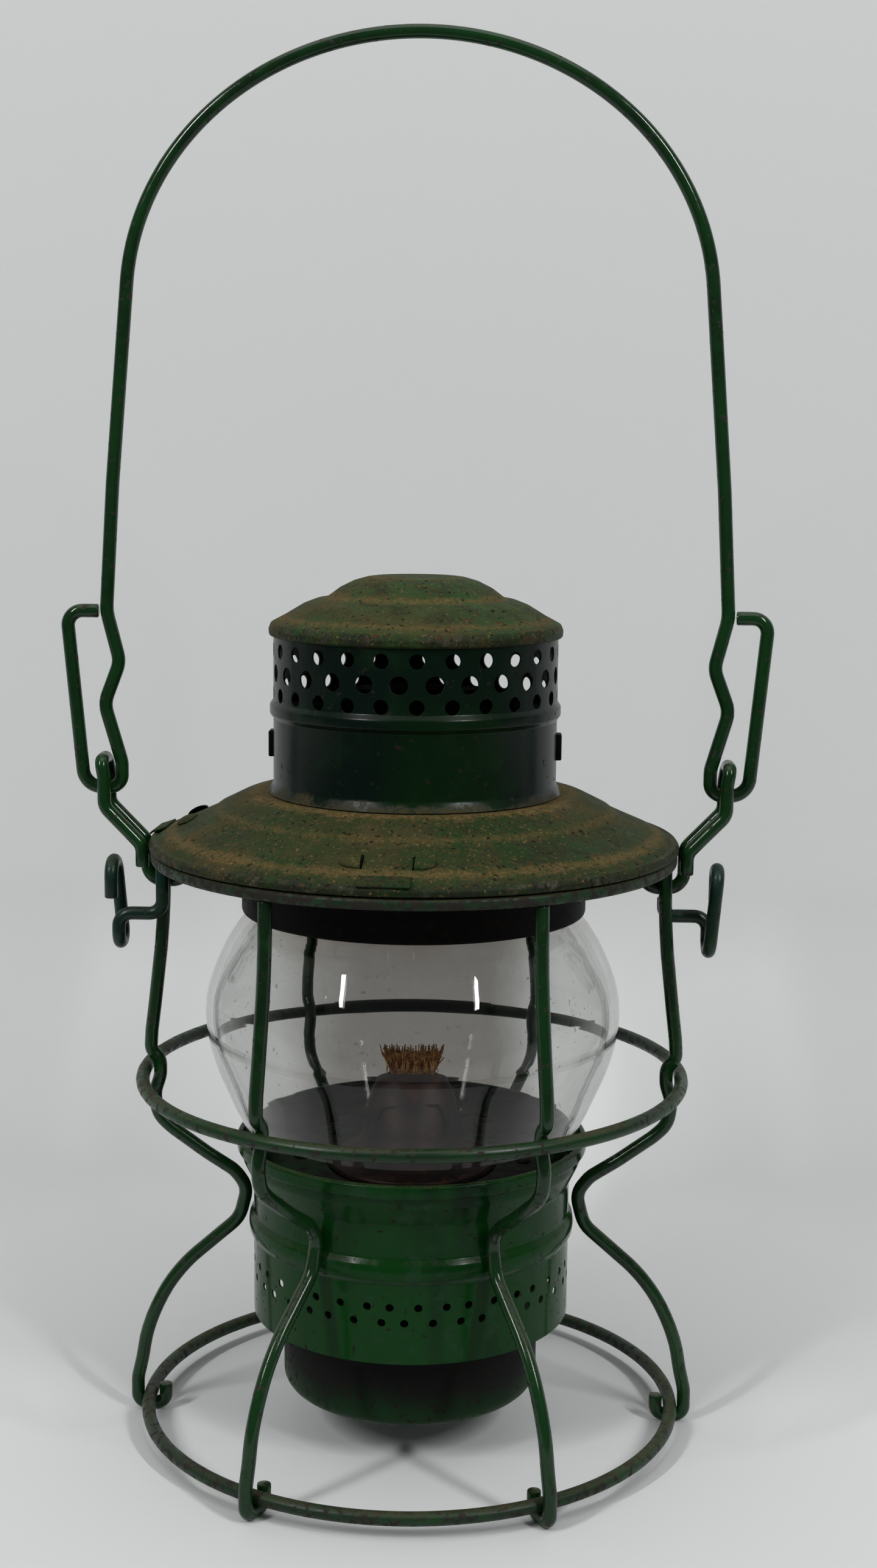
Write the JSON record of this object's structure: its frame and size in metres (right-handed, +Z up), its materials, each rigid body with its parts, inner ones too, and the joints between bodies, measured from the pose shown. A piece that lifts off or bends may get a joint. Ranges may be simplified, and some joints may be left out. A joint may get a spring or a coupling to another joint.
{
  "type": "railroad lantern",
  "caption": "Wire-guarded hand lantern with a hinged sheet-metal lid, short glass globe, drop-out oil fount, flat-wick burner and swinging wire bail.",
  "frame": {"origin": "on the ground under the middle of the guard", "axes": "+Z up, front towards -Y, +X through the right-hand ear of the bail"},
  "size_m": [0.2176, 0.1722, 0.4308],
  "materials": {
    "green_enamel": "dark green gloss enamel with chips and rubbed edges",
    "dusty_enamel": "green enamel gone dull, with olive dust and brown rust",
    "holder_green": "mid green satin enamel with dust",
    "black_enamel": "satin black enamel",
    "burner_brass": "heat-browned plated brass",
    "wick_cotton": "singed woven cotton",
    "globe_glass": "clear pressed glass with grime near its ends"
  },
  "bodies": {
    "frame": {"base_ring": "dusty_enamel", "guard_ring": "dusty_enamel", "guard_wire_1": "green_enamel", "guard_wire_2": "green_enamel", "guard_wire_3": "green_enamel", "guard_wire_4": "green_enamel", "guard_wire_5": "green_enamel", "guard_wire_6": "green_enamel", "top_ring": "green_enamel", "ear_right": "green_enamel", "ear_left": "green_enamel", "hook_right": "green_enamel", "hook_left": "green_enamel", "globe_holder": "holder_green", "bayonet_ledge": "holder_green", "globe_plate": "holder_green", "globe": "globe_glass", "hinge_frame_leaf": "green_enamel", "hinge_pin": "burner_brass"},
    "lid": {"lid_brim": "dusty_enamel", "chimney": "green_enamel", "chimney_tab_right": "black_enamel", "chimney_tab_left": "black_enamel", "chimney_cap": "dusty_enamel", "globe_collar": "black_enamel", "rim_tab_front": "dusty_enamel", "lid_spring_front": "black_enamel", "rim_tab_left": "dusty_enamel", "lid_spring_left": "black_enamel", "hinge_lid_leaf": "green_enamel"},
    "bail": {"bail": "green_enamel"},
    "fount": {"fount_pot": "green_enamel", "locking_plate": "burner_brass", "draught_cup": "burner_brass", "burner_cone": "burner_brass", "wick_tube": "burner_brass"},
    "winder": {"winder_shaft": "burner_brass", "spur_wheel_1": "burner_brass", "spur_wheel_2": "burner_brass", "winder_knob": "burner_brass"},
    "wick": {"wick": "wick_cotton"}
  },
  "joints": [
    {"name": "lid_hinge", "type": "hinge", "parent": "frame", "child": "lid", "pos_m": [0, 0.0825, 0.18575], "axis": [-1, 0, 0], "range_deg": [0, 105]},
    {"name": "bail_swing", "type": "hinge", "parent": "frame", "child": "bail", "pos_m": [0, 0, 0.203], "axis": [1, 0, 0], "range_deg": [-115, 115]},
    {"name": "fount_twist", "type": "hinge", "parent": "frame", "child": "fount", "pos_m": [0, 0, 0.0715], "axis": [0, 0, 1], "range_deg": [0, 30]},
    {"name": "wick_turn", "type": "hinge", "parent": "fount", "child": "winder", "pos_m": [0, 0.0048, 0.0775], "axis": [-1, 0, 0], "range_deg": [0, 100]},
    {"name": "wick_lift", "type": "slide", "parent": "fount", "child": "wick", "axis": [0, 0, 1], "range_m": [0, 0.0061]}
  ],
  "couplings": [
    {"joint": "wick_turn", "follows": "wick_lift", "rad_per_m": 285.71}
  ]
}
